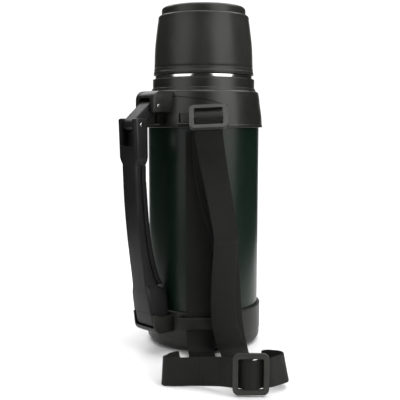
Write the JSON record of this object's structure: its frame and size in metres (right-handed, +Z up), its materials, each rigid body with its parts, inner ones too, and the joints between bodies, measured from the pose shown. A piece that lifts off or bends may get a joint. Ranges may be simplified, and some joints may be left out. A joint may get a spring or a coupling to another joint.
{
  "type": "vacuum flask",
  "caption": "Tall double-walled vacuum flask with a screw-on cup, pour-through stopper, hinged lift-up side handle and webbing shoulder strap.",
  "frame": {"origin": "centre of the base pad's underside, on the surface the flask stands on", "axes": "+Z up along the bottle's axis; the handle is on the -X side; the strap's lug faces halfway between -X and -Y"},
  "size_m": [0.1994, 0.2317, 0.3575],
  "materials": {
    "shell_green": "satin dark green lacquer",
    "steel": "polished stainless steel",
    "steel_brushed": "brushed stainless steel",
    "collar_plastic": "fine-grained grey-green moulding",
    "cup_plastic": "satin grey-green moulding",
    "handle_plastic": "satin charcoal moulding",
    "handle_soft": "soft-touch insert",
    "liner_plastic": "smooth dark moulding",
    "valve_plastic": "smooth off-white moulding",
    "seal_rubber": "soft silicone",
    "webbing": "ribbed polypropylene webbing",
    "slider_plastic": "satin grey moulding",
    "insulation": "expanded foam"
  },
  "bodies": {
    "root": {"outer_shell": "shell_green", "inner_liner": "steel_brushed", "shell_bottom_plate": "steel_brushed", "vacuum_seal_cap": "steel", "base_cup": "collar_plastic", "base_pad": "seal_rubber", "collar": "collar_plastic", "neck_sleeve": "liner_plastic", "neck_seal": "seal_rubber", "trim_ring": "steel", "link_pin_upper": "steel", "strap_body_run": "webbing", "strap_front_run": "webbing", "strap_slider_upper": "slider_plastic", "strap_slider_lower": "slider_plastic"},
    "link": {"link_arm": "handle_plastic", "link_pin_lower": "steel"},
    "handle": {"handle_frame": "handle_plastic", "handle_grip": "handle_soft", "handle_screw_upper": "steel", "handle_screw_lower": "steel"},
    "cup_seal": {"cup_gasket": "seal_rubber"},
    "cup": {"cup_shell": "cup_plastic", "cup_top_disc": "cup_plastic", "cup_liner": "liner_plastic"},
    "stopper_seal": {"stopper_gasket": "seal_rubber"},
    "stopper": {"stopper_body": "liner_plastic", "stopper_foam": "insulation", "stopper_cap": "liner_plastic", "button_spring": "steel"},
    "button": {"pour_button": "collar_plastic", "valve_stem": "valve_plastic", "valve_disc": "valve_plastic", "valve_seal": "seal_rubber"}
  },
  "joints": [
    {"name": "link_lift", "type": "hinge", "parent": "root", "child": "link", "pos_m": [-0.077, 0, 0.2545], "axis": [0, 1, 0], "range_deg": [0, 39.4]},
    {"name": "handle_swing", "type": "hinge", "parent": "link", "child": "handle", "pos_m": [-0.0995, 0, 0.236], "axis": [0, 1, 0], "range_deg": [-41.4, 0]},
    {"name": "cup_lift", "type": "slide", "parent": "root", "child": "cup_seal", "axis": [0, 0, 1], "range_m": [0, 0.12]},
    {"name": "cup_turn", "type": "hinge", "parent": "cup_seal", "child": "cup", "pos_m": [0, 0, 0.3], "axis": [0, 0, 1], "continuous": true},
    {"name": "stopper_lift", "type": "slide", "parent": "root", "child": "stopper_seal", "axis": [0, 0, 1], "range_m": [0, 0.035]},
    {"name": "stopper_turn", "type": "hinge", "parent": "stopper_seal", "child": "stopper", "pos_m": [0, 0, 0.285], "axis": [0, 0, 1], "continuous": true},
    {"name": "button_press", "type": "slide", "parent": "stopper", "child": "button", "axis": [0, 0, -1], "range_m": [0, 0.004], "stiffness_N_per_m": 600, "springref_m": -0.002, "deforming": ["button_spring"]}
  ],
  "couplings": [
    {"joint": "handle_swing", "follows": "link_lift", "ratio": -1.049}
  ]
}
